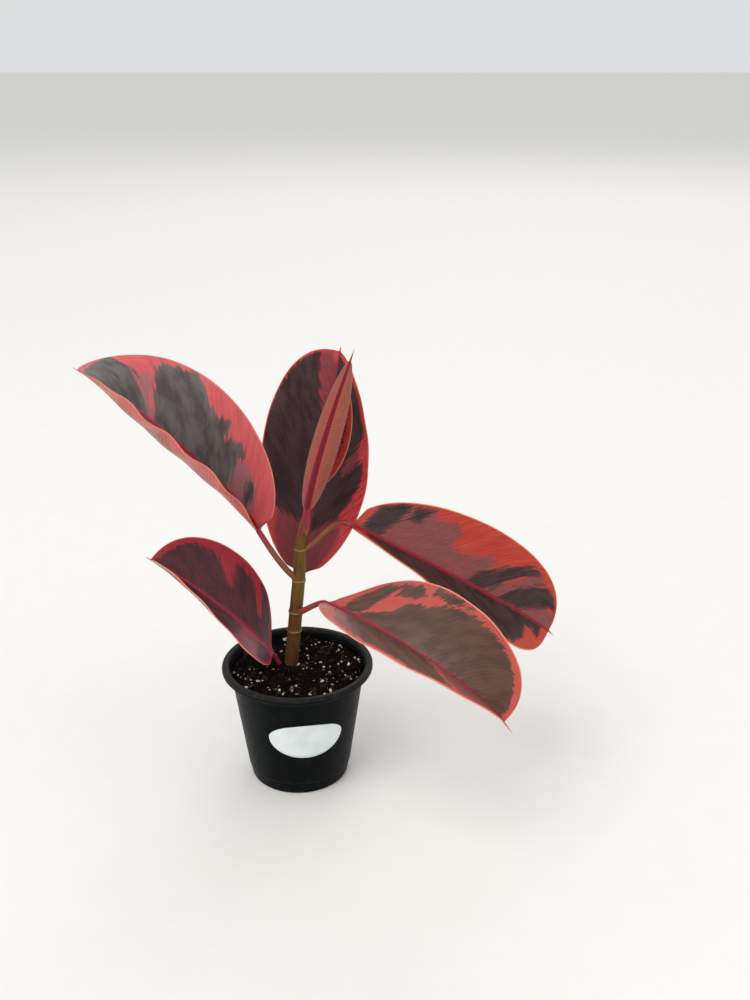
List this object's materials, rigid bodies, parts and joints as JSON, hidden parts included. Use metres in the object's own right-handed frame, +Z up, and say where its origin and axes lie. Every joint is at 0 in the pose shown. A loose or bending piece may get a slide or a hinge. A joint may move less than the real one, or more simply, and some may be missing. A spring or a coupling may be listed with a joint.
{
  "type": "potted rubber plant",
  "caption": "Young potted rubber plant with broad variegated leaves on a short stem, rooted in a round black nursery pot.",
  "frame": {"origin": "centre of the pot's flat base, on the surface it stands on", "axes": "+Z up through the pot, +Y towards the back of the plant, -Y towards the side with the label, +X to the right when facing the label"},
  "size_m": [0.32, 0.2031, 0.3231],
  "materials": {
    "pot_plastic": "satin moulded black plastic",
    "label_paper": "smooth coated white sticker",
    "potting_mix": "coarse dark peat mix with white perlite and bark",
    "stem_bark": "smooth olive brown bark with pale ring scars",
    "root_skin": "matte fibrous skin",
    "leaf_variegated": "waxy leaf, dark green-brown with red and coral patches",
    "leaf_young": "waxy salmon-brown underside with a crimson rib",
    "bud_sheath": "smooth dark red sheath"
  },
  "bodies": {
    "root": {"pot": "pot_plastic", "label": "label_paper", "soil": "potting_mix", "stem": "stem_bark", "root_1": "root_skin", "root_2": "root_skin", "root_3": "root_skin", "root_4": "root_skin", "root_5": "root_skin", "leaf_upper_left": "leaf_variegated", "leaf_lower_right": "leaf_variegated", "leaf_back": "leaf_variegated", "leaf_upper_right": "leaf_variegated", "leaf_lower_left": "leaf_variegated", "new_leaf": "leaf_young", "bud_sheath": "bud_sheath"}
  },
  "joints": []
}
